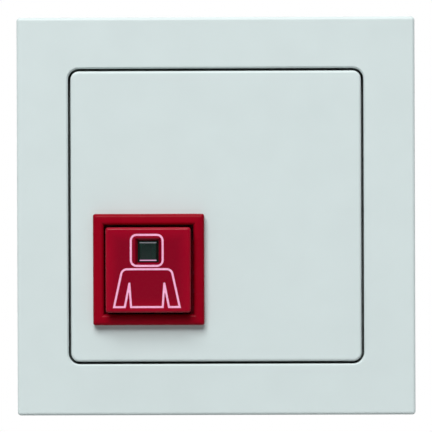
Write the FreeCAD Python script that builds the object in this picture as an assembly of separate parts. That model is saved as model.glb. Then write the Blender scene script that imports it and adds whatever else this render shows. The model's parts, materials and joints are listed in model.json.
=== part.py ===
import FreeCAD, Part
import math
import os

Vector = FreeCAD.Vector

# A flush-mounted call push-button in a square cover frame, in millimetres.
# X runs to the right, Z up and Y into the wall. The support plate rests on the wall face at y = 0,
# and the origin is the centre of its four fixing slots.

# Cover frame
frame_side = 80.5
frame_depth = 9.8
frame_wall = 1.8
frame_face = 2.0
frame_edge_radius = 0.7
insert_opening = 59.75
insert_opening_radius = 2.25
insert_opening_bevel = 0.3
inner_wall = 1.5
ledge_setback = 4.2
ledge_width = 1.6
ledge_thickness = 1.0
frame_rib = 1.0
frame_rib_offset = 13.0
frame_rib_clearance = 0.4

# Centre plate
plate_gap = 0.53
plate_proud = 0.3
plate_thickness = 2.0
plate_corner_radius = 1.7
plate_edge_radius = 0.55
skirt_wall = 1.4
hook_offset_x = 9.0
hook_offset_z = 24.4
hook_width = 4.6
hook_thickness = 1.2
hook_nose = 0.7
hook_nose_length = 1.6
hook_gusset = 2.2
gusset_thickness = 0.8
hook_clearance = 0.3
hook_play = 0.05

# Red collar round the button
collar_centre_x = -13.55
collar_centre_z = -10.7
collar_opening = 18.0
collar_rim = 2.2
collar_proud = 2.0
collar_corner_radius = 0.45
collar_mouth_radius = 0.7
collar_flat = 0.9
collar_wall = 1.0
collar_hole_clearance = 0.1
collar_foot_clearance = 0.3
collar_barb = 0.5
collar_barb_length = 1.1
collar_tongue = 7.0
collar_slit = 0.6
stop_step = 0.4
stop_gap = 0.05

# Push-button cap
press_travel = 1.5
cap_gap = 0.5
cap_proud = 2.9
cap_wall = 1.5
cap_edge_radius = 0.55
cap_lug_thickness = 1.15
cap_lug_gap = 0.1
latch_window_width = 4.0
latch_window_height = 1.2
latch_window_setback = 2.8

# Indicator lens and its light guide
lens_rise = 3.7
lens_width = 4.0
lens_height = 4.2
lens_bevel = 0.45
lens_recess = 0.3
window_slope = 0.45
window_slope_depth = 0.9
lens_flange = 0.4
lens_flange_thickness = 0.8
lens_clearance = 0.1
guide_width = 3.2
guide_end_width = 2.4

# Key slider
slider_gap = 0.15
slider_thickness = 1.8
slider_leg = 1.0
slider_nub = 0.6
slider_nub_clearance = 0.1
stem_drop = 2.9
stem_radius = 1.6

# Return spring
spring_wire = 0.5
spring_turns = 4.5
spring_wire_sides = 6
spring_tower_gap = 0.35

# Steel support plate
support_thickness = 1.2
support_gap = 2.95
support_corner_radius = 4.0
support_fold = 3.0
support_fold_length = 22.0
support_fold_radius = 0.6
support_fold_root = 1.5
support_fold_relief = 0.8
support_web = 2.4
support_opening_radius = 2.0
support_opening_clearance = 0.3
fixing_spacing = 60.0
fixing_slot_width = 3.6
fixing_slot_length = 7.2
support_notch_width = 5.0
support_notch_depth = 2.2
support_notch_offset = 26.0

# Module cover in front of the support plate
cover_thickness = 2.0
cover_rim = 1.0
cover_rim_width = 1.0
cover_rib = 0.9
cover_rib_offset = 9.0
tower_height = 4.4
tower_wall = 0.85
bore_clearance = 0.15
spring_seat = 0.4

# Rear housing of the module
module_side = 44.0
module_depth = 17.0
module_wall = 1.6
module_corner_radius = 7.0
module_edge = 1.0
module_rib = 1.5
module_rib_offset = 9.0
boss_radius = 2.6
boss_sink = 0.2

# Screws that clamp the cover, the support plate and the rear housing together
screw_radius = 1.05
screw_length = 10.0
screw_head_radius = 2.0
screw_head_height = 1.3
screw_clearance = 0.25
pilot_clearance = 0.05
screw_recess_width = 0.6
screw_recess_length = 2.4
screw_recess_depth = 0.7

# Circuit board
board_front = 4.0
board_thickness = 1.6
board_gap = 0.4
board_corner_radius = 5.0
board_notch_clearance = 0.5
post_inset = 5.5
post_radius = 2.2
board_screw_radius = 0.95
board_screw_length = 7.6
board_screw_head_radius = 1.9
board_screw_head_height = 1.2
pin_clearance = 0.1

# Key switch
switch_side = 7.0
switch_height = 3.2
switch_wall = 0.7
switch_base = 0.6
switch_lid = 0.3
switch_lid_tab = 2.0
switch_lid_tab_width = 3.0
switch_lid_lip = 0.3
plunger_radius = 1.4
plunger_flange_radius = 2.1
plunger_flange_thickness = 0.5
plunger_gap = 0.15
plunger_reach = 3.6
dome_base_radius = 2.6
dome_top_radius = 1.3
dome_wall = 0.35
switch_pin_width = 0.6
switch_pin_thickness = 0.3
switch_pin_inset_x = 0.4
switch_pin_inset_z = 1.4
pin_protrusion = 1.0

# Rectangular indicator lamp
lamp_width = 3.2
lamp_height = 2.2
lamp_length = 7.0
lamp_flange = 0.3
lamp_flange_thickness = 0.8
lamp_hole_clearance = 0.3
lamp_guide_gap = 0.5
lead_width = 0.5
lead_spacing = 2.54

# Parts soldered on the board
resistor_length = 3.2
resistor_width = 1.6
resistor_height = 0.55
resistor_cap_length = 0.5
resistor_cap = 0.05
resistor_places = ((1.0, -9.0), (1.0, -12.5), (7.5, -9.0))
diode_centre = (9.5, -13.5)
diode_length = 4.4
diode_width = 2.6
diode_height = 2.1
diode_tab_length = 0.9
diode_tab_width = 1.5
diode_tab_thickness = 0.2

# Terminal block with push-in clamps
pole_count = 4
pole_pitch = 5.0
terminal_centre_z = 5.5
terminal_end_wall = 0.6
terminal_height = 9.6
terminal_proud = 1.0
terminal_fit = 0.3
chamber_width = 3.8
chamber_height = 7.2
chamber_depth = 8.0
entry_width = 2.4
entry_offset = 1.7
release_width = 2.4
release_height = 1.2
release_offset = 2.3
clamp_width = 3.2
clamp_thickness = 0.4
clamp_seat = 0.05
contact_thickness = 0.6
contact_length = 7.0
contact_pin_width = 1.0

# Depths, measured from the wall face, and sizes that follow from the values above
face_y = -frame_depth
frame_inside = frame_side - 2 * frame_wall
ledge_y = face_y + ledge_setback
ledge_opening = insert_opening - 2 * ledge_width

plate_side = insert_opening - 2 * plate_gap
plate_y = face_y - plate_proud
plate_back_y = plate_y + plate_thickness

cover_seat_y = -support_thickness
cover_y = cover_seat_y - cover_thickness
cover_rim_y = cover_y - cover_rim

collar_y = plate_y - collar_proud
collar_foot_y = cover_rim_y - collar_foot_clearance
collar_tube = collar_opening + 2 * collar_wall
collar_side = collar_opening + 2 * collar_rim
collar_bore = collar_opening + 2 * stop_step
collar_edge_radius = collar_rim - collar_mouth_radius - collar_flat

cap_side = collar_opening - 2 * cap_gap
cap_y = collar_y - cap_proud
cap_inner_y = cap_y + cap_wall
cap_foot_y = collar_foot_y - press_travel
cap_lug_y = cap_foot_y - cap_lug_thickness
cap_lug_side = collar_bore - 2 * cap_lug_gap
cap_inside = cap_side - 2 * cap_wall
stop_y = cap_lug_y - stop_gap

button_centre = (collar_centre_x, collar_centre_z)
lens_centre = (collar_centre_x, collar_centre_z + lens_rise)
stem_centre = (collar_centre_x, collar_centre_z - stem_drop)

lens_y = cap_y + lens_recess
window_width = lens_width + 2 * lens_clearance
window_height = lens_height + 2 * lens_clearance
window_mouth = (window_width + 2 * window_slope, window_height + 2 * window_slope)
lens_flange_width = window_width + 2 * lens_flange
lens_flange_height = window_height + 2 * lens_flange
lens_flange_back_y = cap_inner_y + lens_flange_thickness

slider_side = cap_inside - 2 * slider_gap
slider_back_y = cap_inner_y + slider_thickness
latch_window_y = cap_inner_y + latch_window_setback

board_back_y = board_front + board_thickness
board_side = module_side - 2 * module_wall - 2 * board_gap
switch_front_y = board_front - switch_height
lid_front_y = switch_front_y - switch_lid
plunger_tip_y = lid_front_y - plunger_reach
bore_radius = stem_radius + bore_clearance
tower_radius = bore_radius + tower_wall
tower_y = cover_y - tower_height
spring_radius = tower_radius + spring_tower_gap + spring_wire / 2
spring_seat_radius = spring_radius + spring_wire
spring_seat_y = cover_y + spring_seat

lamp_tip_y = board_front - lamp_length
guide_end_y = lamp_tip_y - lamp_guide_gap - press_travel

support_side = frame_inside - 2 * support_gap
support_front_y = -support_thickness
support_fold_y = support_front_y - support_fold
boss_offset = module_side / 2 - module_wall - boss_radius + boss_sink
support_opening = 2 * (boss_offset - support_web)
module_floor_y = module_depth - module_wall
screw_seat_y = cover_y
screw_end_y = screw_seat_y + screw_length
post_offset = board_side / 2 - post_inset

terminal_length = pole_count * pole_pitch + 2 * terminal_end_wall
terminal_back_y = module_depth + terminal_proud
terminal_centre = (0.0, terminal_centre_z)

boss_places = ((0, boss_offset), (0, -boss_offset))
fixing_places = (
    (fixing_spacing / 2, 0, "x"),
    (-fixing_spacing / 2, 0, "x"),
    (0, fixing_spacing / 2, "z"),
    (0, -fixing_spacing / 2, "z"),
)
post_places = ((-post_offset, post_offset), (post_offset, -post_offset))
pole_places = [(index - (pole_count - 1) / 2) * pole_pitch for index in range(pole_count)]
hook_places = [(x, z) for x in (-hook_offset_x, hook_offset_x) for z in (-hook_offset_z, hook_offset_z)]


def block(width, height, front, back, centre=(0, 0)):
    """A rectangular block, width along X and height along Z, between two depths."""
    corner = Vector(centre[0] - width / 2, front, centre[1] - height / 2)
    return Part.makeBox(width, back - front, height, corner)


def depth_edges(shape):
    """The straight edges that run into the wall."""
    found = []
    for edge in shape.Edges:
        start, end = edge.Vertexes[0].Point, edge.Vertexes[-1].Point
        if abs(start.x - end.x) < 1e-6 and abs(start.z - end.z) < 1e-6:
            found.append(edge)
    return found


def edges_at(shape, y, reach=None, centre=(0, 0)):
    """The edges in the plane at depth y, or only those within a square of half width reach."""
    found = []
    for edge in shape.Edges:
        box = edge.BoundBox
        if abs(box.YMin - y) > 1e-6 or abs(box.YMax - y) > 1e-6:
            continue
        sides = (box.XMin - centre[0], box.XMax - centre[0], box.ZMin - centre[1], box.ZMax - centre[1])
        if reach is None or max(abs(side) for side in sides) < reach:
            found.append(edge)
    return found


def rounded_block(width, height, front, back, radius, centre=(0, 0)):
    """A block with its four corners rounded, as seen from the front."""
    body = block(width, height, front, back, centre)
    return body.makeFillet(radius, depth_edges(body))


def rod(radius, front, back, centre=(0, 0)):
    """A round bar or hole along Y."""
    return Part.makeCylinder(radius, back - front, Vector(centre[0], front, centre[1]), Vector(0, 1, 0))


def prism_x(points, width, centre_x):
    """A solid with a section in Y and Z, centred on centre_x."""
    corners = [Vector(centre_x - width / 2, y, z) for y, z in points]
    return Part.Face(Part.makePolygon(corners + corners[:1])).extrude(Vector(width, 0, 0))


def taper(front_size, back_size, front, back, centre):
    """A rectangular bar that narrows towards the wall; each size is a width and a height."""
    outlines = []
    for (width, height), y in ((front_size, front), (back_size, back)):
        corners = [
            Vector(centre[0] + side_x * width / 2, y, centre[1] + side_z * height / 2)
            for side_x, side_z in ((-1, -1), (1, -1), (1, 1), (-1, 1))
        ]
        outlines.append(Part.makePolygon(corners + corners[:1]))
    return Part.makeLoft(outlines, True, True)


def quarter_turns(shape, centre=(0, 0)):
    """Four copies of a shape, a quarter turn apart round an axis along Y."""
    copies = []
    for quarter in range(4):
        turned = shape.copy()
        turned.rotate(Vector(centre[0], 0, centre[1]), Vector(0, 1, 0), 90 * quarter)
        copies.append(turned)
    return copies


def cover_frame():
    """Moulded square frame: rounded face, hollow back, and a ledge that the centre plate presses on."""
    body = block(frame_side, frame_side, face_y, 0)
    body = body.makeFillet(frame_edge_radius, depth_edges(body) + edges_at(body, face_y))
    body = body.cut(block(frame_inside, frame_inside, face_y + frame_face, 0))
    wall_side = insert_opening + 2 * inner_wall
    wall_radius = insert_opening_radius + inner_wall
    body = body.fuse(
        rounded_block(wall_side, wall_side, face_y + frame_face, ledge_y + ledge_thickness, wall_radius)
    )
    body = body.cut(rounded_block(insert_opening, insert_opening, face_y, ledge_y, insert_opening_radius))
    body = body.makeChamfer(insert_opening_bevel, edges_at(body, face_y, insert_opening / 2 + inner_wall))
    ledge_back_y = ledge_y + ledge_thickness
    ledge_radius = insert_opening_radius - ledge_width
    body = body.cut(rounded_block(ledge_opening, ledge_opening, ledge_y, ledge_back_y, ledge_radius))
    rib_back_y = support_fold_y - frame_rib_clearance
    rib_length = (frame_inside - wall_side) / 2
    ribs = []
    for offset in (-frame_rib_offset, 0, frame_rib_offset):
        middle = (wall_side / 2 + rib_length / 2, offset)
        ribs += quarter_turns(block(rib_length, frame_rib, face_y + frame_face, rib_back_y, middle))
    return body.fuse(ribs).removeSplitter()


def plate_hook(x, z):
    """A springy arm behind the centre plate with a wedge nose that snaps behind the support plate."""
    outward = 1 if z > 0 else -1
    nose_back = hook_play + hook_nose_length
    inner = z - outward * hook_thickness / 2
    outer = z + outward * hook_thickness / 2
    arm = [
        (plate_back_y, inner),
        (nose_back, inner),
        (nose_back, outer),
        (hook_play, outer + outward * hook_nose),
        (hook_play, outer),
        (plate_back_y, outer),
    ]
    gusset = [
        (plate_back_y, inner),
        (plate_back_y + hook_gusset, inner),
        (plate_back_y, inner - outward * hook_gusset),
    ]
    return prism_x(arm, hook_width, x).fuse(prism_x(gusset, gusset_thickness, x))


def centre_plate():
    """Square plate with soft edges, a skirt that rests on the frame's ledge, and four snap hooks."""
    body = rounded_block(plate_side, plate_side, plate_y, ledge_y, plate_corner_radius)
    body = body.makeFillet(plate_edge_radius, edges_at(body, plate_y))
    pocket_side = plate_side - 2 * skirt_wall
    pocket_radius = plate_corner_radius - skirt_wall
    body = body.cut(rounded_block(pocket_side, pocket_side, plate_back_y, ledge_y, pocket_radius))
    hole = collar_tube + 2 * collar_hole_clearance
    body = body.cut(block(hole, hole, plate_y, plate_back_y, button_centre))
    return body.fuse([plate_hook(x, z) for x, z in hook_places]).removeSplitter()


def button_collar():
    """Red collar: a round-topped square rim on the plate and a tube through it, with barbed tongues."""
    rim = block(collar_side, collar_side, collar_y, plate_y, button_centre)
    rim = rim.makeFillet(collar_edge_radius, edges_at(rim, collar_y))
    rim = rim.makeFillet(collar_corner_radius, depth_edges(rim))
    body = rim.fuse(block(collar_tube, collar_tube, plate_y, collar_foot_y, button_centre))
    body = body.cut(block(collar_opening, collar_opening, collar_y, collar_foot_y, button_centre))
    body = body.makeFillet(collar_mouth_radius, edges_at(body, collar_y, collar_bore / 2, button_centre))
    body = body.cut(block(collar_bore, collar_bore, stop_y, collar_foot_y, button_centre))
    catch_y = plate_back_y + hook_play
    outside = collar_centre_z - collar_tube / 2
    slits = []
    for side in (-1, 1):
        place = (collar_centre_x + side * (collar_tongue + collar_slit) / 2, outside)
        slit = block(collar_slit, 2 * collar_wall, catch_y, collar_foot_y, place)
        slits += quarter_turns(slit, button_centre)
    wedge = [(catch_y, outside), (catch_y, outside - collar_barb), (catch_y + collar_barb_length, outside)]
    barbs = quarter_turns(prism_x(wedge, collar_tongue, collar_centre_x), button_centre)
    return body.cut(slits).fuse(barbs).removeSplitter()


def call_button():
    """Red cap: a hollow square key with a funnel-shaped window for the lens and a foot that stops it."""
    body = block(cap_side, cap_side, cap_y, cap_foot_y, button_centre)
    body = body.makeFillet(cap_edge_radius, depth_edges(body) + edges_at(body, cap_y))
    body = body.fuse(block(cap_lug_side, cap_lug_side, cap_lug_y, cap_foot_y, button_centre))
    body = body.cut(block(cap_inside, cap_inside, cap_inner_y, cap_foot_y, button_centre))
    window = block(window_width, window_height, cap_y, cap_inner_y, lens_centre)
    slope_end_y = cap_y + window_slope_depth
    funnel = taper(window_mouth, (window_width, window_height), cap_y, slope_end_y, lens_centre)
    body = body.cut([window, funnel])
    latch = block(
        cap_side,
        latch_window_width,
        latch_window_y,
        latch_window_y + latch_window_height,
        button_centre,
    )
    return body.cut(latch).removeSplitter()


def indicator_lens():
    """Green lens with bevelled edges, a flange behind the cap's face and a tapered light guide."""
    head = block(lens_width, lens_height, lens_y, cap_inner_y, lens_centre)
    head = head.makeChamfer(lens_bevel, edges_at(head, lens_y))
    flange = block(lens_flange_width, lens_flange_height, cap_inner_y, lens_flange_back_y, lens_centre)
    guide_front = (guide_width, guide_width)
    guide_end = (guide_end_width, guide_end_width)
    guide = taper(guide_front, guide_end, lens_flange_back_y, guide_end_y, lens_centre)
    return head.fuse([flange, guide]).removeSplitter()


def key_slider():
    """Slider inside the cap: it traps the lens, latches in the cap's windows and carries the stem."""
    body = block(slider_side, slider_side, cap_inner_y, slider_back_y, button_centre)
    pocket = block(
        lens_flange_width + 2 * lens_clearance,
        lens_flange_height + 2 * lens_clearance,
        cap_inner_y,
        lens_flange_back_y,
        lens_centre,
    )
    guide_hole = guide_width + 2 * lens_clearance
    body = body.cut([pocket, block(guide_hole, guide_hole, cap_inner_y, slider_back_y, lens_centre)])
    nub_front = latch_window_y + slider_nub_clearance
    nub_back = latch_window_y + latch_window_height - slider_nub_clearance
    nub_width = latch_window_width - 2 * slider_nub_clearance
    legs = []
    for side in (-1, 1):
        leg_x = collar_centre_x + side * (slider_side - slider_leg) / 2
        nub_x = collar_centre_x + side * (slider_side + slider_nub) / 2
        legs.append(block(slider_leg, nub_width, slider_back_y, nub_back, (leg_x, collar_centre_z)))
        legs.append(block(slider_nub, nub_width, nub_front, nub_back, (nub_x, collar_centre_z)))
    stem = rod(stem_radius, slider_back_y, plunger_tip_y, stem_centre)
    return body.fuse(legs + [stem]).removeSplitter()


def return_spring():
    """Compression spring round the tower, both ends ground flat; the wire's section is a hexagon."""
    length = spring_seat_y - slider_back_y
    helix = Part.makeHelix(length / spring_turns, length + spring_wire, spring_radius)
    helix.translate(Vector(0, 0, -spring_wire / 2))
    start = helix.Edges[0].valueAt(helix.Edges[0].FirstParameter)
    corners = []
    for side in range(spring_wire_sides):
        angle = 2 * math.pi * side / spring_wire_sides
        corners.append(start + Vector(math.cos(angle), 0, math.sin(angle)) * (spring_wire / 2))
    section = Part.makePolygon(corners + corners[:1])
    coil = Part.Wire(helix.Edges).makePipeShell([section], True, True)
    coil = coil.common(Part.makeCylinder(spring_radius + spring_wire, length))
    coil.rotate(Vector(0, 0, 0), Vector(1, 0, 0), -90)
    coil.translate(Vector(stem_centre[0], slider_back_y, stem_centre[1]))
    return coil


def fixing_slot(x, z, along):
    """A round-ended slot through the support plate."""
    straight = fixing_slot_length - fixing_slot_width
    radius = fixing_slot_width / 2
    step = (straight / 2, 0) if along == "x" else (0, straight / 2)
    size = (straight, fixing_slot_width) if along == "x" else (fixing_slot_width, straight)
    ends = [rod(radius, support_front_y, 0, (x + sign * step[0], z + sign * step[1])) for sign in (-1, 1)]
    return block(size[0], size[1], support_front_y, 0, (x, z)).fuse(ends)


def upright_edges(shape, x, y):
    """The edges that run straight up at one place in plan."""
    found = []
    for edge in shape.Edges:
        box = edge.BoundBox
        if max(abs(box.XMin - x), abs(box.XMax - x), abs(box.YMin - y), abs(box.YMax - y)) < 1e-6:
            found.append(edge)
    return found


def folded_edge(side):
    """The short wall bent forward at the plate's left or right edge."""
    outer_x = side * support_side / 2
    root = support_thickness + support_fold_radius + support_fold_root
    fold = block(root, support_fold_length, support_fold_y, 0, (outer_x - side * root / 2, 0))
    inner = root - support_thickness
    inner_x = outer_x - side * (support_thickness + inner / 2)
    fold = fold.cut(block(inner, support_fold_length, support_fold_y, support_front_y, (inner_x, 0)))
    inner_bend = upright_edges(fold, outer_x - side * support_thickness, support_front_y)
    fold = fold.makeFillet(support_fold_radius, inner_bend)
    return fold.makeFillet(support_fold_radius + support_thickness, upright_edges(fold, outer_x, 0))


def support_plate():
    """Pressed steel plate on the wall, with fixing slots, hook windows and two folded edges."""
    body = rounded_block(support_side, support_side, support_front_y, 0, support_corner_radius)
    holes = [
        rounded_block(support_opening, support_opening, support_front_y, 0, support_opening_radius)
    ]
    root = support_thickness + support_fold_radius + support_fold_root
    relief_length = support_fold_length + 2 * support_fold_relief
    for side in (-1, 1):
        place = (side * (support_side - root) / 2, 0)
        holes.append(block(root, relief_length, support_front_y, 0, place))
    for side_x in (-1, 1):
        for side_z in (-1, 1):
            place = (side_x * support_notch_offset, side_z * (support_side - support_notch_depth) / 2)
            holes.append(block(support_notch_width, support_notch_depth, support_front_y, 0, place))
    body = body.cut(holes).fuse([folded_edge(side) for side in (-1, 1)]).removeSplitter()
    holes = [fixing_slot(x, z, along) for x, z, along in fixing_places]
    for x, z in hook_places:
        outward = 1 if z > 0 else -1
        holes.append(
            block(
                hook_width + 2 * hook_clearance,
                hook_thickness + hook_clearance,
                support_front_y,
                0,
                (x, z - outward * hook_clearance / 2),
            )
        )
    holes += [rod(screw_radius + screw_clearance, support_front_y, 0, place) for place in boss_places]
    holes.append(rod(plunger_radius + support_opening_clearance, support_front_y, 0, stem_centre))
    lamp_room = 2 * support_opening_clearance
    holes.append(block(lamp_width + lamp_room, lamp_height + lamp_room, support_front_y, 0, lens_centre))
    return body.cut(holes)


def module_cover():
    """Front moulding of the module: rim, ribs, screw seats, lamp hole and the tower that guides the key."""
    body = rounded_block(module_side, module_side, cover_rim_y, cover_seat_y, module_corner_radius)
    inside = module_side - 2 * cover_rim_width
    inner_radius = module_corner_radius - cover_rim_width
    body = body.cut(rounded_block(inside, inside, cover_rim_y, cover_y, inner_radius))
    ribs = [
        block(cover_rib, inside, cover_rim_y, cover_y, (cover_rib_offset, 0)),
        block(inside, cover_rib, cover_rim_y, cover_y, (0, cover_rib_offset)),
    ]
    body = body.fuse(ribs + [rod(tower_radius, tower_y, cover_y, stem_centre)])
    seat = rod(spring_seat_radius, cover_y, spring_seat_y, stem_centre)
    seat = seat.cut(rod(tower_radius, cover_y, spring_seat_y, stem_centre))
    holes = [seat, rod(bore_radius, tower_y, cover_seat_y, stem_centre)]
    lamp_hole = 2 * lamp_hole_clearance
    holes.append(
        block(lamp_width + lamp_hole, lamp_height + lamp_hole, cover_y, cover_seat_y, lens_centre)
    )
    holes += [rod(screw_radius + screw_clearance, cover_y, cover_seat_y, place) for place in boss_places]
    return body.cut(holes).removeSplitter()


def module_base():
    """Rear housing: a tub with screw bosses, board posts, rest ribs and the opening for the terminals."""
    body = rounded_block(module_side, module_side, 0, module_depth, module_corner_radius)
    body = body.makeChamfer(module_edge, edges_at(body, module_depth))
    inside = module_side - 2 * module_wall
    inner_radius = module_corner_radius - module_wall
    body = body.cut(rounded_block(inside, inside, 0, module_floor_y, inner_radius))
    solids = [rod(boss_radius, 0, module_floor_y, place) for place in boss_places]
    solids += [rod(post_radius, board_back_y, module_floor_y, place) for place in post_places]
    rib_x = inside / 2 - module_rib / 2
    for side in (-1, 1):
        for offset in (-module_rib_offset, module_rib_offset):
            solids.append(
                block(module_rib, module_rib, board_back_y, module_floor_y, (side * rib_x, offset))
            )
    body = body.fuse(solids)
    pilots = [rod(screw_radius + pilot_clearance, 0, screw_end_y + pilot_clearance, p) for p in boss_places]
    board_screw_end = board_front + board_screw_length + pilot_clearance
    pilots += [
        rod(board_screw_radius + pilot_clearance, board_back_y, board_screw_end, place)
        for place in post_places
    ]
    mouth = block(
        terminal_length + 2 * terminal_fit,
        terminal_height + 2 * terminal_fit,
        module_floor_y,
        module_depth,
        terminal_centre,
    )
    return body.cut(pilots + [mouth]).removeSplitter()


def screw(radius, length, head_radius, head_height, seat, centre):
    """A flat-headed screw with a cross recess, its head on a seat that faces the room."""
    head = rod(head_radius, seat - head_height, seat, centre)
    recess = [
        block(width, height, seat - head_height, seat - head_height + screw_recess_depth, centre)
        for width, height in (
            (screw_recess_width, screw_recess_length),
            (screw_recess_length, screw_recess_width),
        )
    ]
    return head.fuse(rod(radius, seat, seat + length, centre)).cut(recess)


def housing_screws():
    """Two screws through the cover and the support plate into the rear housing."""
    return [
        screw(screw_radius, screw_length, screw_head_radius, screw_head_height, screw_seat_y, place)
        for place in boss_places
    ]


def board_screws():
    """Two screws that hold the circuit board on its posts."""
    return [
        screw(
            board_screw_radius,
            board_screw_length,
            board_screw_head_radius,
            board_screw_head_height,
            board_front,
            place,
        )
        for place in post_places
    ]


def switch_pin_places():
    """The switch's four pins, near its corners."""
    reach_x = switch_side / 2 - switch_pin_inset_x
    reach_z = switch_side / 2 - switch_pin_inset_z
    return [
        (stem_centre[0] + side_x * reach_x, stem_centre[1] + side_z * reach_z)
        for side_x in (-1, 1)
        for side_z in (-1, 1)
    ]


def lead_places():
    """The lamp's two leads."""
    return [(lens_centre[0] + side * lead_spacing / 2, lens_centre[1]) for side in (-1, 1)]


def contact_pin_places():
    """One solder pin under each clamp."""
    z = terminal_centre_z - chamber_height / 2 + contact_thickness / 2
    return [(x, z) for x in pole_places]


def circuit_board():
    """Board with rounded corners, notches for the bosses and holes for pins and screws."""
    body = rounded_block(board_side, board_side, board_front, board_back_y, board_corner_radius)
    notch = boss_radius + board_notch_clearance
    holes = [rod(notch, board_front, board_back_y, place) for place in boss_places]
    holes += [rod(board_screw_radius + pin_clearance, board_front, board_back_y, p) for p in post_places]
    pins = [(place, switch_pin_width) for place in switch_pin_places()]
    pins += [(place, lead_width) for place in lead_places()]
    pins += [(place, contact_pin_width) for place in contact_pin_places()]
    for place, width in pins:
        hole = width + 2 * pin_clearance
        holes.append(block(hole, hole, board_front, board_back_y, place))
    return body.cut(holes)


def switch_body():
    """Open tub of the key switch."""
    inside = switch_side - 2 * switch_wall
    body = block(switch_side, switch_side, switch_front_y, board_front, stem_centre)
    return body.cut(block(inside, inside, switch_front_y, board_front - switch_base, stem_centre))


def switch_cover():
    """Folded steel lid of the switch, with a hole for the plunger and two side tabs."""
    body = block(switch_side, switch_side, lid_front_y, switch_front_y, stem_centre)
    tabs = []
    for side in (-1, 1):
        x = stem_centre[0] + side * (switch_side + switch_lid_lip) / 2
        tabs.append(
            block(
                switch_lid_lip,
                switch_lid_tab_width,
                lid_front_y,
                switch_front_y + switch_lid_tab,
                (x, stem_centre[1]),
            )
        )
    hole = rod(plunger_radius + plunger_gap, lid_front_y, switch_front_y, stem_centre)
    return body.fuse(tabs).cut(hole).removeSplitter()


def switch_plunger():
    """Round plunger with a flange that the lid holds in."""
    pin = rod(plunger_radius, plunger_tip_y, switch_front_y, stem_centre)
    flange = rod(
        plunger_flange_radius, switch_front_y, switch_front_y + plunger_flange_thickness, stem_centre
    )
    return pin.fuse(flange).removeSplitter()


def contact_dome():
    """Rubber dome between the plunger and the switch base, which buckles when the key is pressed."""
    top = switch_front_y + plunger_flange_thickness
    base = board_front - switch_base
    outline = [
        (0, top),
        (dome_top_radius, top),
        (dome_base_radius, base),
        (dome_base_radius - dome_wall, base),
        (dome_top_radius - dome_wall, top + dome_wall),
        (0, top + dome_wall),
    ]
    corners = [Vector(stem_centre[0] + radius, y, stem_centre[1]) for radius, y in outline]
    face = Part.Face(Part.makePolygon(corners + corners[:1]))
    return face.revolve(Vector(stem_centre[0], 0, stem_centre[1]), Vector(0, 1, 0), 360)


def switch_pins():
    """Four flat pins soldered through the board."""
    return [
        block(switch_pin_width, switch_pin_thickness, board_front, board_back_y + pin_protrusion, place)
        for place in switch_pin_places()
    ]


def indicator_led():
    """Rectangular indicator lamp that stands on the board, with a flange at its base."""
    body = block(lamp_width, lamp_height, lamp_tip_y, board_front, lens_centre)
    flange = block(
        lamp_width + 2 * lamp_flange,
        lamp_height + 2 * lamp_flange,
        board_front - lamp_flange_thickness,
        board_front,
        lens_centre,
    )
    return body.fuse(flange).removeSplitter()


def led_leads():
    """The lamp's two square leads, through the board."""
    return [
        block(lead_width, lead_width, board_front, board_back_y + pin_protrusion, place)
        for place in lead_places()
    ]


def chip_resistors():
    """Three chip resistors with end caps."""
    chips = []
    for x, z in resistor_places:
        body = block(resistor_length, resistor_width, board_front - resistor_height, board_front, (x, z))
        for side in (-1, 1):
            cap_x = x + side * (resistor_length - resistor_cap_length) / 2
            cap = block(
                resistor_cap_length,
                resistor_width,
                board_front - resistor_height - resistor_cap,
                board_front,
                (cap_x, z),
            )
            body = body.fuse(cap)
        chips.append(body.removeSplitter())
    return chips


def suppressor_diode():
    """Moulded suppressor diode with its two solder tabs."""
    body = block(diode_length, diode_width, board_front - diode_height, board_front, diode_centre)
    body = body.makeChamfer(diode_tab_thickness, edges_at(body, board_front - diode_height))
    tabs = [
        block(
            diode_tab_length,
            diode_tab_width,
            board_front - diode_tab_thickness,
            board_front,
            (diode_centre[0] + side * (diode_length + diode_tab_length) / 2, diode_centre[1]),
        )
        for side in (-1, 1)
    ]
    return body.fuse(tabs).removeSplitter()


def terminal_block():
    """Moulded block with a chamber, a wire entry and a release slot for each pole."""
    body = block(terminal_length, terminal_height, board_back_y, terminal_back_y, terminal_centre)
    chamber_back = board_back_y + chamber_depth
    holes = []
    for x in pole_places:
        holes.append(
            block(chamber_width, chamber_height, board_back_y, chamber_back, (x, terminal_centre_z))
        )
        entry_z = terminal_centre_z - entry_offset
        release_z = terminal_centre_z + release_offset
        holes.append(block(entry_width, entry_width, chamber_back, terminal_back_y, (x, entry_z)))
        holes.append(block(release_width, release_height, chamber_back, terminal_back_y, (x, release_z)))
    return body.cut(holes)


def terminal_springs():
    """One bent strip a pole: it seats in the top of the chamber and presses the wire on the contact."""
    top = terminal_centre_z + chamber_height / 2 - clamp_seat
    bottom = terminal_centre_z - chamber_height / 2 + contact_thickness + clamp_seat
    front = board_back_y + clamp_thickness
    back = board_back_y + chamber_depth - clamp_thickness
    slope = clamp_thickness * math.sqrt(2)
    strip = [
        (back, top),
        (front, top),
        (front, top - clamp_thickness - slope),
        (front + (top - bottom - clamp_thickness - slope), bottom),
        (front + (top - bottom - clamp_thickness - slope) + slope, bottom),
        (front + clamp_thickness, top - clamp_thickness - slope),
        (front + clamp_thickness, top - clamp_thickness),
        (back, top - clamp_thickness),
    ]
    return [prism_x(strip, clamp_width, x) for x in pole_places]


def terminal_pins():
    """One contact bar a pole, on the floor of its chamber, with a pin through the board."""
    pins = []
    for x, z in contact_pin_places():
        bar = block(clamp_width, contact_thickness, board_back_y, board_back_y + contact_length, (x, z))
        pin = block(contact_pin_width, contact_thickness, board_front - pin_protrusion, board_back_y, (x, z))
        pins.append(bar.fuse(pin).removeSplitter())
    return pins


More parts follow.
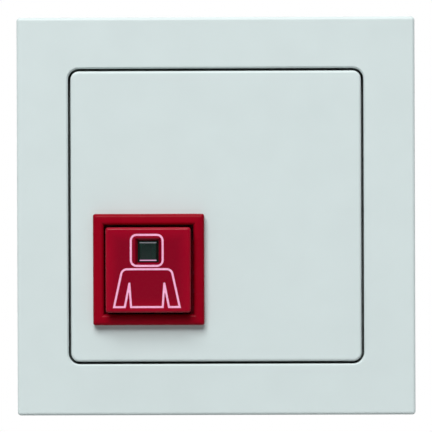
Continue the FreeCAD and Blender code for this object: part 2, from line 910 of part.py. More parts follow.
SUB_PARTS = (
    cover_frame,
    centre_plate,
    button_collar,
    call_button,
    indicator_lens,
    key_slider,
    return_spring,
    module_cover,
    support_plate,
    module_base,
    housing_screws,
    circuit_board,
    board_screws,
    switch_body,
    switch_cover,
    switch_plunger,
    contact_dome,
    switch_pins,
    indicator_led,
    led_leads,
    chip_resistors,
    suppressor_diode,
    terminal_block,
    terminal_springs,
    terminal_pins,
)


def main():
    os.makedirs("parts", exist_ok=True)
    for make in SUB_PARTS:
        shape = make()
        if isinstance(shape, list):
            shape = Part.makeCompound(shape)
        shape.exportStep("parts/" + make.__name__ + ".step")


main()
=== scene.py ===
import json
import math

import bmesh
import bpy
from mathutils import Matrix, Vector


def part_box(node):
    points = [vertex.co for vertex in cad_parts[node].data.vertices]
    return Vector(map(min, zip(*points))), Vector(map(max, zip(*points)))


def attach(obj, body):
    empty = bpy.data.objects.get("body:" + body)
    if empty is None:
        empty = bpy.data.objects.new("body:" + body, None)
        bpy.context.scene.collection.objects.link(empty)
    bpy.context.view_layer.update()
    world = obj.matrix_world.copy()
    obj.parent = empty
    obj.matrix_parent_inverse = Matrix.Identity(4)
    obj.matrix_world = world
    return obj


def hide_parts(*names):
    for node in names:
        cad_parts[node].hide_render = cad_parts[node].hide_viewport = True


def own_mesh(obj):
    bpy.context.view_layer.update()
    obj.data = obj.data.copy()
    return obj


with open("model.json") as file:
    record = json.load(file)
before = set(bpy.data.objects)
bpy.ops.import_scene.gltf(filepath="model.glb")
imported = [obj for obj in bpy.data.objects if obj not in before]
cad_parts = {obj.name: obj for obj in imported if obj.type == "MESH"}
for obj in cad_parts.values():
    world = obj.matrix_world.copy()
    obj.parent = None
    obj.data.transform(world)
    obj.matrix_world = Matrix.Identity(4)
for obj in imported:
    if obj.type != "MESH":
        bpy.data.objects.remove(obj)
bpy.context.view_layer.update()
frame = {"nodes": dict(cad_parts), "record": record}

MM = 0.001

# Camera, fitted to the outer edges of the cover frame
camera_distance = 400.0 * MM
camera_azimuth = math.radians(0.320)
camera_elevation = math.radians(0.169)
camera_roll = math.radians(-0.189)
camera_aim = Vector((0.012, -9.8, 0.026)) * MM
sensor_width = 36.0
camera_lens = 165.01

# Person sign printed on the key, measured from the middle of the key's face
sign_shift_x = -0.25 * MM
sign_stroke = 0.4 * MM
sign_height = 0.012 * MM
head_width = 6.75 * MM
head_height = 6.59 * MM
head_rise = 3.93 * MM
sign_corner = 1.35 * MM
body_top = 0.37 * MM
body_bottom = -7.58 * MM
shoulder_half = 5.07 * MM
arm_outer_half = 6.8 * MM
arm_inner_half = 4.25 * MM
waist_half = 3.34 * MM
notch_half = 3.58 * MM
notch_top = -4.19 * MM
notch_corner = 0.05 * MM

# Bevelled edges of the lens, and the painted lines of light on them, as shares of the bevel
lens_width = 4.0 * MM
lens_height = 4.2 * MM
lens_bevel = 0.45 * MM
lens_line_start = 1.05
lens_line_end = 0.4

# Crown of the collar's rim
collar_rim = 2.2 * MM
collar_crown = 0.22 * MM

# Edge between the key's deep middle and its border of painted light, as shares of half its width
key_middle_end = 0.55
key_border_start = 0.95

# Moulded plastic: how its edges wear, how handling dulls it, and the painted shade in its grooves
worn_gain = 1.12
worn_lift = 0.01
worn_share = 0.5
edge_polish = 0.06
smudge_dulling = 0.05
# Colour of the painted shade in narrow grooves
painted_groove_shade = (70, 72, 70)

# Metal: how much brighter its edges are
metal_edge_gain = 1.25

# Screws
housing_shank_radius = 1.05 * MM
housing_head_height = 1.3 * MM
board_shank_radius = 0.95 * MM
board_head_radius = 1.9 * MM
screw_pitch = 0.8 * MM
thread_depth = 0.17 * MM
thread_half = 0.32
thread_rows = 8
tip_length = 1.2 * MM
tip_share = 0.35
head_crown = 0.35 * MM
recess_length = 2.3 * MM
recess_width = 0.62 * MM
recess_depth = 0.75 * MM
recess_over = 0.1 * MM
recess_end_share = 0.55

# Return spring
spring_wire = 0.5 * MM
spring_turns = 5.4
spring_closed_turns = 0.8
spring_steps = 170
spring_sides = 12

# Rubber dome: its bell from top to foot, as shares of its height and of its radius
dome_wall = 0.35 * MM
dome_least_radius = 0.01 * MM
dome_bell = (
    (0.0, 0.0),
    (0.0, 0.35),
    (0.06, 0.47),
    (0.2, 0.52),
    (0.55, 0.6),
    (0.82, 0.78),
    (0.92, 1.0),
    (1.0, 1.0),
)

# Solder joints on the board, and half the width of each kind of pin, across and up
solder_radius = 0.75 * MM
solder_rise = 0.75 * MM
solder_neck = 0.32
solder_hollow = 2.2
solder_steps = 5
pin_half_width = {
    "switch_pins": (0.3 * MM, 0.15 * MM),
    "led_leads": (0.25 * MM, 0.25 * MM),
    "terminal_pins": (1.6 * MM, 0.3 * MM),
}

# Raised marks on the rear of the housing
mark_height = 0.25 * MM
ejector_places = ((-14.5, -14.5), (14.5, -14.5), (-14.5, 15.0), (14.5, 15.0))
ejector_radius = 1.8 * MM
ejector_line = 0.3 * MM
pole_dot_radius = 0.42 * MM
pole_dot_step = 1.0 * MM
pole_dot_gap = 1.7 * MM
gauge_drop = 3.6 * MM
gauge_bare = 9.0 * MM
gauge_sleeve = 6.0 * MM
gauge_core = 0.5 * MM
gauge_cover = 1.2 * MM
gauge_slope = 0.08 * MM
weld_reach = 0.0001 * MM

# Floor under the part
floor_drop = 60.0 * MM
floor_half = 3.0
floor_fade_start = 85.0 * MM
floor_fade_end = 122.0 * MM
floor_bounce = (0.32, 0.32, 0.32, 1.0)

# Key light in front, and the room's light from above, all round and from behind
key_power = 171.0
key_distance = 4.0
key_place = Vector((-0.138, -0.712, 0.688)) * key_distance
key_width = 2.4
key_height = 2.3
sky_level = 0.77
room_level = 0.02
rear_level = 1.25

smooth_angle = math.radians(35)


def linear(red, green, blue):
    """A colour given as it looks on a screen, from 0 to 255, as Blender's linear values."""
    values = []
    for value in (red, green, blue):
        share = value / 255
        values.append(share / 12.92 if share <= 0.04045 else ((share + 0.055) / 1.055) ** 2.4)
    return (*values, 1.0)


# Node helpers


def add_node(tree, kind, inputs=None, **settings):
    """A node with its settings and inputs; an input is a value or another node's output."""
    made = tree.nodes.new(kind)
    for name, value in settings.items():
        setattr(made, name, value)
    for name, value in (inputs or {}).items():
        if isinstance(value, bpy.types.NodeSocket):
            tree.links.new(value, made.inputs[name])
        else:
            made.inputs[name].default_value = value
    return made


def maths(tree, operation, first, second=0.0, clamp=False):
    """The result of one sum on values or outputs."""
    return add_node(
        tree, "ShaderNodeMath", {0: first, 1: second}, operation=operation, use_clamp=clamp
    ).outputs[0]


def blend_colours(tree, share, first, second):
    """A colour between two others."""
    made = add_node(
        tree, "ShaderNodeMix", {"Factor": share, 6: first, 7: second}, data_type="RGBA"
    )
    return made.outputs[2]


def spread(tree, value, low, high, to_low=0.0, to_high=1.0, kind="LINEAR"):
    """A value moved from one range to another, and held inside it."""
    return add_node(
        tree,
        "ShaderNodeMapRange",
        {"Value": value, "From Min": low, "From Max": high, "To Min": to_low, "To Max": to_high},
        interpolation_type=kind,
    ).outputs["Result"]


def line_between(tree, value, low, high):
    """A soft line where a value lies between two others."""
    half = (high - low) / 2
    away = maths(tree, "ABSOLUTE", maths(tree, "SUBTRACT", value, (low + high) / 2))
    return spread(tree, away, half * 0.5, half, 1.0, 0.0, "SMOOTHSTEP")


def noise(tree, place, scale, detail=2.0, roughness=0.5):
    """Soft random blotches, from 0 to 1."""
    return add_node(
        tree,
        "ShaderNodeTexNoise",
        {"Vector": place, "Scale": scale, "Detail": detail, "Roughness": roughness},
    ).outputs["Fac"]


def object_place(tree):
    """Where a point is in the part's own frame, in metres."""
    return add_node(tree, "ShaderNodeTexCoord").outputs["Object"]


def axes(tree, place):
    """The X, Y and Z of a place or direction."""
    return add_node(tree, "ShaderNodeSeparateXYZ", {"Vector": place}).outputs


def scaled_axes(tree, place, factors):
    """A place with each axis scaled by its own factor, to stretch a pattern."""
    return add_node(
        tree, "ShaderNodeVectorMath", {0: place, 1: factors}, operation="MULTIPLY"
    ).outputs["Vector"]


def scaled_colour(tree, colour, share):
    """A colour made lighter or darker by a share that changes over the surface."""
    return add_node(
        tree, "ShaderNodeVectorMath", {0: colour[:3], 3: share}, operation="SCALE"
    ).outputs["Vector"]


def seen_directly(tree, behind):
    """1 for what the camera sees, and for what shows from behind in a mirror or through glass."""
    path = add_node(tree, "ShaderNodeLightPath").outputs
    mirrored = maths(tree, "MAXIMUM", path["Is Glossy Ray"], path["Is Transmission Ray"])
    return maths(tree, "MAXIMUM", path["Is Camera Ray"], maths(tree, "MULTIPLY", mirrored, behind))


def new_group(name, inputs, outputs):
    """An empty shader group with its sockets, its input node and its output node."""
    group = bpy.data.node_groups.new(name, "ShaderNodeTree")
    for label, value in inputs.items():
        socket = group.interface.new_socket(label, in_out="INPUT", socket_type="NodeSocketFloat")
        socket.default_value = value
    for label, kind in outputs.items():
        group.interface.new_socket(label, in_out="OUTPUT", socket_type=kind)
    return group, add_node(group, "NodeGroupInput"), add_node(group, "NodeGroupOutput")


def place_group(tree, group, **values):
    """A shader group in a material; its inputs are set by name, with _ for a space."""
    made = add_node(tree, "ShaderNodeGroup", node_tree=group)
    for name, value in values.items():
        made.inputs[name.replace("_", " ")].default_value = value
    return made


# Effects that several materials share


def moulded_grain_group():
    """Fine spark-eroded grain of a moulding, with the slow mottle of its flow."""
    group, given, out = new_group(
        "moulded grain",
        {"Grain": 9000.0, "Mottle": 120.0},
        {"Height": "NodeSocketFloat", "Mottle": "NodeSocketFloat"},
    )
    place = object_place(group)
    group.links.new(noise(group, place, given.outputs["Grain"], 3.0, 0.6), out.inputs["Height"])
    group.links.new(noise(group, place, given.outputs["Mottle"], 2.0, 0.5), out.inputs["Mottle"])
    return group


def soft_edge_group():
    """A normal that rolls over sharp edges, and a mask of the edges that handling polishes."""
    group, given, out = new_group(
        "soft edge",
        {"Radius": 0.0002, "Gain": 3.0},
        {"Normal": "NodeSocketVector", "Edge": "NodeSocketFloat"},
    )
    rolled = add_node(group, "ShaderNodeBevel", {"Radius": given.outputs["Radius"]}, samples=6)
    surface = add_node(group, "ShaderNodeNewGeometry").outputs["Normal"]
    likeness = add_node(
        group,
        "ShaderNodeVectorMath",
        {0: rolled.outputs["Normal"], 1: surface},
        operation="DOT_PRODUCT",
    ).outputs["Value"]
    turned = maths(group, "SUBTRACT", 1.0, likeness)
    edge = maths(group, "MULTIPLY", turned, given.outputs["Gain"], clamp=True)
    group.links.new(rolled.outputs["Normal"], out.inputs["Normal"])
    group.links.new(edge, out.inputs["Edge"])
    return group


def painted_shade_group():
    """A mask of narrow grooves, where shade is painted into the colour in patches."""
    group, given, out = new_group(
        "painted crevice shade", {"Reach": 0.002, "Dust": 0.6}, {"Mask": "NodeSocketFloat"}
    )
    # Painted shade: how closely nearby surfaces close in on a point sets how dark it is painted
    opening = add_node(
        group, "ShaderNodeAmbientOcclusion", {"Distance": given.outputs["Reach"]}, samples=8
    ).outputs["AO"]
    closed = spread(group, opening, 0.4, 0.15)
    patchy = spread(group, noise(group, object_place(group), 500.0, 3.0, 0.6), 0.3, 0.7, 0.8, 1.0)
    shade_share = maths(group, "MULTIPLY", patchy, given.outputs["Dust"])
    group.links.new(maths(group, "MULTIPLY", closed, shade_share), out.inputs["Mask"])
    return group


def drawn_lines_group():
    """Fine lines left by rolling or drawing, along X, with short scratches across them."""
    group, given, out = new_group(
        "drawn lines",
        {"Lines": 6000.0, "Stretch": 0.03},
        {"Height": "NodeSocketFloat", "Tone": "NodeSocketFloat"},
    )
    parts = axes(group, object_place(group))
    along = maths(group, "MULTIPLY", parts["X"], given.outputs["Stretch"])
    stretched = add_node(
        group, "ShaderNodeCombineXYZ", {"X": along, "Y": parts["Y"], "Z": parts["Z"]}
    ).outputs["Vector"]
    lines = noise(group, stretched, given.outputs["Lines"], 2.0, 0.6)
    tone = noise(group, stretched, maths(group, "MULTIPLY", given.outputs["Lines"], 0.12), 2.0, 0.5)
    group.links.new(lines, out.inputs["Height"])
    group.links.new(tone, out.inputs["Tone"])
    return group


def handling_marks_group():
    """Faint smudges and hairline scratches that change how the surface shines."""
    group, given, out = new_group(
        "handling marks",
        {"Smudge": 60.0, "Scratch": 900.0},
        {"Shine": "NodeSocketFloat"},
    )
    place = object_place(group)
    smudge = spread(group, noise(group, place, given.outputs["Smudge"], 4.0, 0.6), 0.35, 0.7)
    bent = scaled_axes(group, place, (0.05, 1.0, 0.9))
    hairs = spread(group, noise(group, bent, given.outputs["Scratch"], 1.0, 0.5), 0.66, 0.72)
    group.links.new(maths(group, "MAXIMUM", smudge, hairs), out.inputs["Shine"])
    return group


moulded_grain = moulded_grain_group()
soft_edge = soft_edge_group()
drawn_lines = drawn_lines_group()
handling_marks = handling_marks_group()
painted_crevice_shade = painted_shade_group()


# Materials


def new_material(name):
    """A material, its node tree and its shader."""
    material = bpy.data.materials.new(name)
    material.use_nodes = True
    tree = material.node_tree
    return material, tree, tree.nodes["Principled BSDF"]


def add_bump(tree, shader, height, strength, distance, normal=None):
    """Relief on top of an optional rolled normal."""
    given = {"Height": height, "Strength": strength, "Distance": distance}
    if normal is not None:
        given["Normal"] = normal
    bump = add_node(tree, "ShaderNodeBump", given)
    tree.links.new(bump.outputs["Normal"], shader.inputs["Normal"])


def plastic(
    name,
    colour,
    roughness,
    shine=0.5,
    grain=9000.0,
    relief=0.02,
    edge_radius=0.15,
    mottle=0.05,
    groove_shade=0.0,
):
    """Moulded plastic: mottled colour, fine grain, softened and slightly polished edges."""
    material, tree, shader = new_material(name)
    skin = place_group(tree, moulded_grain, Grain=grain)
    rim = place_group(tree, soft_edge, Radius=edge_radius * MM)
    marks = place_group(tree, handling_marks)
    tone = spread(tree, skin.outputs["Mottle"], 0.3, 0.7, 1.0 - mottle, 1.0 + mottle)
    toned = scaled_colour(tree, colour, tone)
    worn = tuple(min(value * worn_gain + worn_lift, 1.0) for value in colour[:3]) + (1.0,)
    edge = maths(tree, "MULTIPLY", rim.outputs["Edge"], worn_share)
    finish = blend_colours(tree, edge, toned, worn)
    # Painted shade darkens the colour in narrow grooves
    if groove_shade:
        grooves = place_group(tree, painted_crevice_shade, Dust=groove_shade)
        finish = blend_colours(tree, grooves.outputs["Mask"], finish, linear(*painted_groove_shade))
    tree.links.new(finish, shader.inputs["Base Color"])
    gloss = spread(
        tree, marks.outputs["Shine"], 0.0, 1.0, roughness, roughness + smudge_dulling
    )
    polished = maths(tree, "MULTIPLY", rim.outputs["Edge"], edge_polish)
    tree.links.new(maths(tree, "SUBTRACT", gloss, polished), shader.inputs["Roughness"])
    shader.inputs["Specular IOR Level"].default_value = shine
    add_bump(tree, shader, skin.outputs["Height"], 0.5, relief * MM, rim.outputs["Normal"])
    return material


def square_distance(tree, middle):
    """How far out a point of a square front is: the same all along a square round its middle."""
    parts = axes(tree, object_place(tree))
    reach = [
        maths(tree, "ABSOLUTE", maths(tree, "SUBTRACT", parts[axis], centre))
        for axis, centre in (("X", middle.x), ("Z", middle.z))
    ]
    return maths(tree, "MAXIMUM", *reach)


def key_red():
    """The key's red: deep in the middle, with a lighter border of painted light."""
    material = plastic(
        "key_red", linear(154, 1, 33), 0.2, shine=0.13, relief=0.003, edge_radius=0.08
    )
    tree = material.node_tree
    shader = tree.nodes["Principled BSDF"]
    source = shader.inputs["Base Color"].links[0].from_socket
    low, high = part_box("call_button")
    half = (high.x - low.x) / 2
    far = square_distance(tree, (low + high) / 2)
    share = spread(
        tree, far, half * key_middle_end, half * key_border_start, kind="SMOOTHSTEP"
    )
    # Painted light: the border is painted lighter and the middle deeper
    deep = blend_colours(tree, share, linear(131, 1, 30), source)
    tree.links.new(deep, shader.inputs["Base Color"])
    return material


def collar_red():
    """The collar's red, on a rim that is slightly crowned and falls off outwards."""
    material = plastic(
        "collar_red", linear(144, 2, 26), 0.26, shine=0.05, relief=0.003, edge_radius=0.1
    )
    tree = material.node_tree
    shader = tree.nodes["Principled BSDF"]
    low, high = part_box("button_collar")
    half = (high.x - low.x) / 2
    far = square_distance(tree, (low + high) / 2)
    share = spread(tree, far, half - collar_rim, half)
    fall = maths(tree, "MULTIPLY", maths(tree, "MULTIPLY", share, share), -collar_crown)
    grain = shader.inputs["Normal"].links[0].from_node
    edges = grain.inputs["Normal"].links[0].from_socket
    crown = add_node(
        tree, "ShaderNodeBump", {"Height": fall, "Strength": 1.0, "Distance": 1.0, "Normal": edges}
    )
    tree.links.new(crown.outputs["Normal"], grain.inputs["Normal"])
    return material


def lens_green():
    """Dark green tinted lens: faint upright streaks, a painted highlight along the upper bevel and
    a painted glow along the lower one.
    """
    material, tree, shader = new_material("lens_green")
    place = object_place(tree)
    drawn = scaled_axes(tree, place, (1.0, 1.0, 0.15))
    streaks = spread(tree, noise(tree, drawn, 1800.0, 2.0, 0.5), 0.35, 0.65)
    tint = blend_colours(tree, streaks, linear(5, 23, 21), linear(12, 38, 32))
    low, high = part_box("indicator_lens")
    middle = (low + high) / 2
    parts = axes(tree, place)
    aside = maths(tree, "ABSOLUTE", maths(tree, "SUBTRACT", parts["X"], middle.x))
    side = lens_width / 2 - lens_bevel
    inside = spread(tree, aside, side, side + lens_bevel / 2, 1.0, 0.0)
    above = maths(tree, "SUBTRACT", parts["Z"], middle.z)
    below = maths(tree, "MULTIPLY", above, -1.0)
    line_start = lens_height / 2 - lens_bevel * lens_line_start
    line_end = lens_height / 2 - lens_bevel * lens_line_end
    # Masks of the painted light lines on the upper and lower bevels
    upper, lower = (
        maths(tree, "MULTIPLY", line_between(tree, height, line_start, line_end), inside)
        for height in (above, below)
    )
    # Painted highlight: the upper bevel is painted light grey
    painted_highlight = blend_colours(tree, upper, tint, linear(112, 114, 120))
    tree.links.new(painted_highlight, shader.inputs["Base Color"])
    # Painted glow: the lower bevel emits light, though the lens is no lamp
    painted_glow = blend_colours(tree, lower, (0.0, 0.0, 0.0, 1.0), linear(222, 168, 206))
    tree.links.new(painted_glow, shader.inputs["Emission Color"])
    shader.inputs["Emission Strength"].default_value = 1.0
    tree.links.new(spread(tree, streaks, 0.0, 1.0, 0.05, 0.12), shader.inputs["Roughness"])
    shader.inputs["Specular IOR Level"].default_value = 0.3
    shader.inputs["Coat Weight"].default_value = 0.2
    shader.inputs["Coat Roughness"].default_value = 0.05
    rim = place_group(tree, soft_edge, Radius=0.05 * MM)
    tree.links.new(rim.outputs["Normal"], shader.inputs["Normal"])
    return material


def metal(name, colour, roughness, lines=6000.0, relief=0.01, tone_range=0.12):
    """Bare or plated metal with drawn lines."""
    material, tree, shader = new_material(name)
    drawn = place_group(tree, drawn_lines, Lines=lines)
    rim = place_group(tree, soft_edge, Radius=0.08 * MM)
    tone = spread(tree, drawn.outputs["Tone"], 0.3, 0.7, 1.0 - tone_range, 1.0)
    toned = scaled_colour(tree, colour, tone)
    bright = tuple(min(value * metal_edge_gain, 1.0) for value in colour[:3]) + (1.0,)
    tree.links.new(
        blend_colours(tree, rim.outputs["Edge"], toned, bright), shader.inputs["Base Color"]
    )
    tree.links.new(
        spread(tree, drawn.outputs["Height"], 0.3, 0.7, roughness, roughness + 0.12),
        shader.inputs["Roughness"],
    )
    shader.inputs["Metallic"].default_value = 1.0
    add_bump(tree, shader, drawn.outputs["Height"], 0.4, relief * MM, rim.outputs["Normal"])
    return material


def galvanised():
    """Hot-dip zinc: crystals of different brightness with faint borders."""
    material, tree, shader = new_material("galvanised_sheet")
    place = object_place(tree)
    cells = add_node(tree, "ShaderNodeTexVoronoi", {"Vector": place, "Scale": 260.0})
    crystal = add_node(
        tree, "ShaderNodeSeparateColor", {"Color": cells.outputs["Color"]}
    ).outputs["Red"]
    cloud = noise(tree, place, 90.0, 4.0, 0.6)
    share = maths(tree, "MULTIPLY", maths(tree, "ADD", crystal, cloud), 0.5)
    tree.links.new(
        blend_colours(tree, share, (0.42, 0.44, 0.46, 1.0), (0.68, 0.69, 0.7, 1.0)),
        shader.inputs["Base Color"],
    )
    tree.links.new(spread(tree, share, 0.2, 0.8, 0.58, 0.42), shader.inputs["Roughness"])
    shader.inputs["Metallic"].default_value = 1.0
    rim = place_group(tree, soft_edge, Radius=0.12 * MM)
    add_bump(tree, shader, share, 0.3, 0.02 * MM, rim.outputs["Normal"])
    return material


def board_green():
    """Glass-fibre laminate under a green mask, its weave just showing."""
    material, tree, shader = new_material("board_green")
    place = object_place(tree)
    threads = [
        add_node(
            tree,
            "ShaderNodeTexWave",
            {"Vector": place, "Scale": 420.0, "Distortion": 0.4, "Detail": 1.0},
            bands_direction=direction,
        ).outputs["Fac"]
        for direction in ("X", "Z")
    ]
    cloth = maths(tree, "MULTIPLY", *threads)
    tree.links.new(
        blend_colours(tree, cloth, (0.012, 0.13, 0.045, 1.0), (0.03, 0.2, 0.075, 1.0)),
        shader.inputs["Base Color"],
    )
    tree.links.new(spread(tree, cloth, 0.0, 1.0, 0.32, 0.42), shader.inputs["Roughness"])
    add_bump(tree, shader, cloth, 0.4, 0.01 * MM)
    return material


def sign_print():
    """Pale pink ink, slightly uneven where it was pad printed."""
    material, tree, shader = new_material("sign_ink")
    cloud = noise(tree, object_place(tree), 2500.0, 3.0, 0.6)
    tree.links.new(
        blend_colours(
            tree, spread(tree, cloud, 0.35, 0.65), linear(240, 165, 203), linear(248, 184, 218)
        ),
        shader.inputs["Base Color"],
    )
    tree.links.new(spread(tree, cloud, 0.3, 0.7, 0.4, 0.5), shader.inputs["Roughness"])
    shader.inputs["Specular IOR Level"].default_value = 0.2
    return material


def lamp_resin():
    """Diffused green resin of the indicator lamp."""
    material, tree, shader = new_material("lamp_resin")
    cloud = noise(tree, object_place(tree), 1500.0, 3.0, 0.5)
    tree.links.new(
        blend_colours(tree, cloud, (0.06, 0.4, 0.1, 1.0), (0.12, 0.56, 0.17, 1.0)),
        shader.inputs["Base Color"],
    )
    tree.links.new(spread(tree, cloud, 0.3, 0.7, 0.14, 0.22), shader.inputs["Roughness"])
    shader.inputs["Subsurface Weight"].default_value = 0.3
    shader.inputs["Subsurface Radius"].default_value = (0.0006, 0.0012, 0.0006)
    return material


finishes = {
    "white_plastic": plastic(
        "white_cover",
        (0.636, 0.727, 0.726, 1.0),
        0.42,
        shine=0.35,
        relief=0.004,
        edge_radius=0.12,
        mottle=0.012,
        # Strength of the painted shade in the grooves round the plate
        groove_shade=0.85,
    ),
    "red_plastic": collar_red(),
    "green_lens": lens_green(),
    "natural_plastic": plastic("slider_natural", (0.75, 0.73, 0.66, 1.0), 0.45),
    "spring_steel": metal("spring_steel", (0.5, 0.5, 0.51, 1.0), 0.24),
    "grey_plastic": plastic("housing_grey", (0.2, 0.21, 0.22, 1.0), 0.5, grain=6000.0, relief=0.03),
    "galvanised_steel": galvanised(),
    "screw_steel": metal("screw_steel", (0.6, 0.6, 0.6, 1.0), 0.28, lines=9000.0),
    "board_laminate": board_green(),
    "black_plastic": plastic("switch_black", (0.02, 0.02, 0.021, 1.0), 0.4),
    "dome_rubber": plastic("dome_rubber", (0.3, 0.3, 0.3, 1.0), 0.7, shine=0.3, relief=0.03),
    "tinned_metal": metal("tinned_copper", (0.7, 0.7, 0.68, 1.0), 0.3),
    "lamp_resin": lamp_resin(),
    "chip_ceramic": plastic("chip_body", (0.03, 0.03, 0.035, 1.0), 0.35, grain=12000.0),
    "terminal_plastic": plastic("terminal_orange", (0.55, 0.08, 0.04, 1.0), 0.42),
    "contact_brass": metal("contact_brass", (0.6, 0.42, 0.18, 1.0), 0.26),
}
key_finish = key_red()
sign_finish = sign_print()


def dress(piece, material):
    """One material over a whole piece, in every slot that its mesh has."""
    if not piece.material_slots:
        piece.data.materials.append(material)
    for place in piece.material_slots:
        place.material = material


for part in frame["record"]["subparts"]:
    dress(frame["nodes"][part["node"]], finishes[part["material_slot"]])
dress(frame["nodes"]["call_button"], key_finish)


# Mesh helpers


def add_to_scene(name, data):
    """An object in the scene that shows a mesh, a light or a camera."""
    made = bpy.data.objects.new(name, data)
    bpy.context.scene.collection.objects.link(made)
    return made


def new_object(name, build):
    """An object in the scene from a bmesh, its faces turned outwards."""
    mesh = bpy.data.meshes.new(name)
    bmesh.ops.recalc_face_normals(build, faces=build.faces)
    build.to_mesh(mesh)
    build.free()
    return add_to_scene(name, mesh)


def new_piece(name, build, body, material, smooth=True):
    """A piece from a bmesh, shaded, dressed and riding on a body."""
    piece = new_object(name, build)
    for face in piece.data.polygons:
        face.use_smooth = smooth
    if smooth:
        piece.data.set_sharp_from_angle(angle=smooth_angle)
    dress(piece, material)
    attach(piece, body)
    return piece


def ring_sweep(build, rings, close_ends=True):
    """Quads between equal rings of points, with flat ends."""
    rows = [[build.verts.new(point) for point in ring] for ring in rings]
    count = len(rows[0])
    for lower, upper in zip(rows, rows[1:]):
        for index in range(count):
            following = (index + 1) % count
            build.faces.new((lower[index], lower[following], upper[following], upper[index]))
    if close_ends:
        build.faces.new(rows[0])
        build.faces.new(rows[-1])


def around(centre, depth, radius, angle):
    """A point at an angle round an axis along Y."""
    return Vector(
        (centre.x + radius * math.cos(angle), depth, centre.z + radius * math.sin(angle))
    )


def turned_rings(profile, centre, steps):
    """Rings round an axis along Y, from pairs of depth and radius."""
    angles = [2 * math.pi * step / steps for step in range(steps)]
    return [[around(centre, depth, radius, angle) for angle in angles] for depth, radius in profile]


# Person sign


def rounded_corner(before, corner, after, radius, steps=6):
    """Points of an arc that rounds one corner of a flat outline."""
    first = (before - corner).normalized()
    second = (after - corner).normalized()
    half = first.angle(second) / 2
    reach = radius / math.tan(half)
    centre = corner + (first + second).normalized() * (radius / math.sin(half))
    start = corner + first * reach - centre
    end = corner + second * reach - centre
    turn = start.angle_signed(end)
    points = []
    for step in range(steps + 1):
        angle = -turn * step / steps
        points.append(centre + Matrix.Rotation(angle, 2) @ start)
    return points


def inset_outline(points, distance):
    """A flat closed outline moved inwards, each corner kept where its two moved sides meet."""
    moved = []
    count = len(points)
    for index, corner in enumerate(points):
        before, after = points[index - 1], points[(index + 1) % count]
        first = (corner - before).normalized()
        second = (after - corner).normalized()
        normal = (Vector((-first.y, first.x)) + Vector((-second.y, second.x))).normalized()
        cosine = max(normal.dot(Vector((-first.y, first.x))), 0.05)
        moved.append(corner + normal * (distance / cosine))
    return moved


def round_outline(corners):
    """A closed outline, counter-clockwise, from corners that each have their own radius."""
    outline = []
    count = len(corners)
    for index, (corner, radius) in enumerate(corners):
        before, after = corners[index - 1][0], corners[(index + 1) % count][0]
        outline += rounded_corner(before, corner, after, radius) if radius else [corner]
    return outline


def raised_stroke(build, outer, inner, centre, front):
    """A printed line between two outlines that have the same number of points."""
    back = front + sign_height
    rows = []
    for outline in (outer, inner):
        rows.append(
            [
                [build.verts.new((centre.x + p.x, depth, centre.z + p.y)) for p in outline]
                for depth in (front, back)
            ]
        )
    (outer_front, outer_back), (inner_front, inner_back) = rows
    count = len(outer)
    for index in range(count):
        following = (index + 1) % count
        for first, second in (
            (outer_front, inner_front),
            (inner_front, inner_back),
            (inner_back, outer_back),
            (outer_back, outer_front),
        ):
            build.faces.new((first[index], first[following], second[following], second[index]))


def stroke_outlines(corners):
    """Outer and inner outlines of a line round a shape; a corner has a radius on each side."""
    points, outside, inside = zip(*corners)
    outer = round_outline(list(zip(points, outside)))
    inner = round_outline(list(zip(inset_outline(points, sign_stroke), inside)))
    return outer, inner


def head_corners():
    """A rounded square round the lens."""
    corners = []
    for side_x, side_z in ((-1, -1), (1, -1), (1, 1), (-1, 1)):
        point = Vector((side_x * head_width / 2, head_rise + side_z * head_height / 2))
        corners.append((point, sign_corner, sign_corner - sign_stroke))
    return corners


def body_corners():
    """Shoulders, arms and waist, with a narrow notch between each arm and the waist."""
    right = [
        (Vector((waist_half, body_bottom)), 0, 0),
        (Vector((notch_half, notch_top)), notch_corner, sign_stroke / 2),
        (Vector((arm_inner_half, body_bottom)), 0, 0),
        (Vector((arm_outer_half, body_bottom)), 0, 0),
        (Vector((shoulder_half, body_top)), sign_corner, sign_corner - sign_stroke),
    ]
    left = [
        (Vector((-point.x, point.y)), outside, inside)
        for point, outside, inside in reversed(right)
    ]
    return right + left


def person_sign():
    """The sign on the key: a head round the lens and a body below it."""
    low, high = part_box("call_button")
    centre = (low + high) / 2 + Vector((sign_shift_x, 0, 0))
    front = low.y - sign_height
    build = bmesh.new()
    for corners in (head_corners(), body_corners()):
        raised_stroke(build, *stroke_outlines(corners), centre, front)
    return new_piece("person_sign", build, "call_key", sign_finish, smooth=False)


# Return spring and switch dome


def coil_height(turn, length):
    """How far along its axis the coil is: both ends are closed, the rest rises evenly."""
    closed = spring_closed_turns
    open_turns = spring_turns - 2 * closed
    rise = length - 2 * closed * spring_wire - spring_wire
    if turn < closed:
        along = turn * spring_wire
    elif turn < spring_turns - closed:
        along = closed * spring_wire + (turn - closed) / open_turns * rise
    else:
        along = closed * spring_wire + rise + (turn - spring_turns + closed) * spring_wire
    return along + spring_wire / 2


def coil_spring():
    """Round wire coil."""
    low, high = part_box("return_spring")
    centre = (low + high) / 2
    radius = (high.x - low.x) / 2 - spring_wire / 2
    length = high.y - low.y
    rings = []
    for step in range(spring_steps + 1):
        turn = spring_turns * step / spring_steps
        angle = 2 * math.pi * turn
        outward = Vector((math.cos(angle), 0, math.sin(angle)))
        start = Vector((centre.x, low.y + coil_height(turn, length), centre.z))
        middle = start + outward * radius
        ring = []
        for side in range(spring_sides):
            round_wire = 2 * math.pi * side / spring_sides
            ring.append(
                middle
                + outward * (math.cos(round_wire) * spring_wire / 2)
                + Vector((0, math.sin(round_wire) * spring_wire / 2, 0))
            )
        rings.append(ring)
    build = bmesh.new()
    ring_sweep(build, rings)
    piece = new_piece("coil_spring", build, "insert", finishes["spring_steel"])
    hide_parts("return_spring")
    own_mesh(piece)


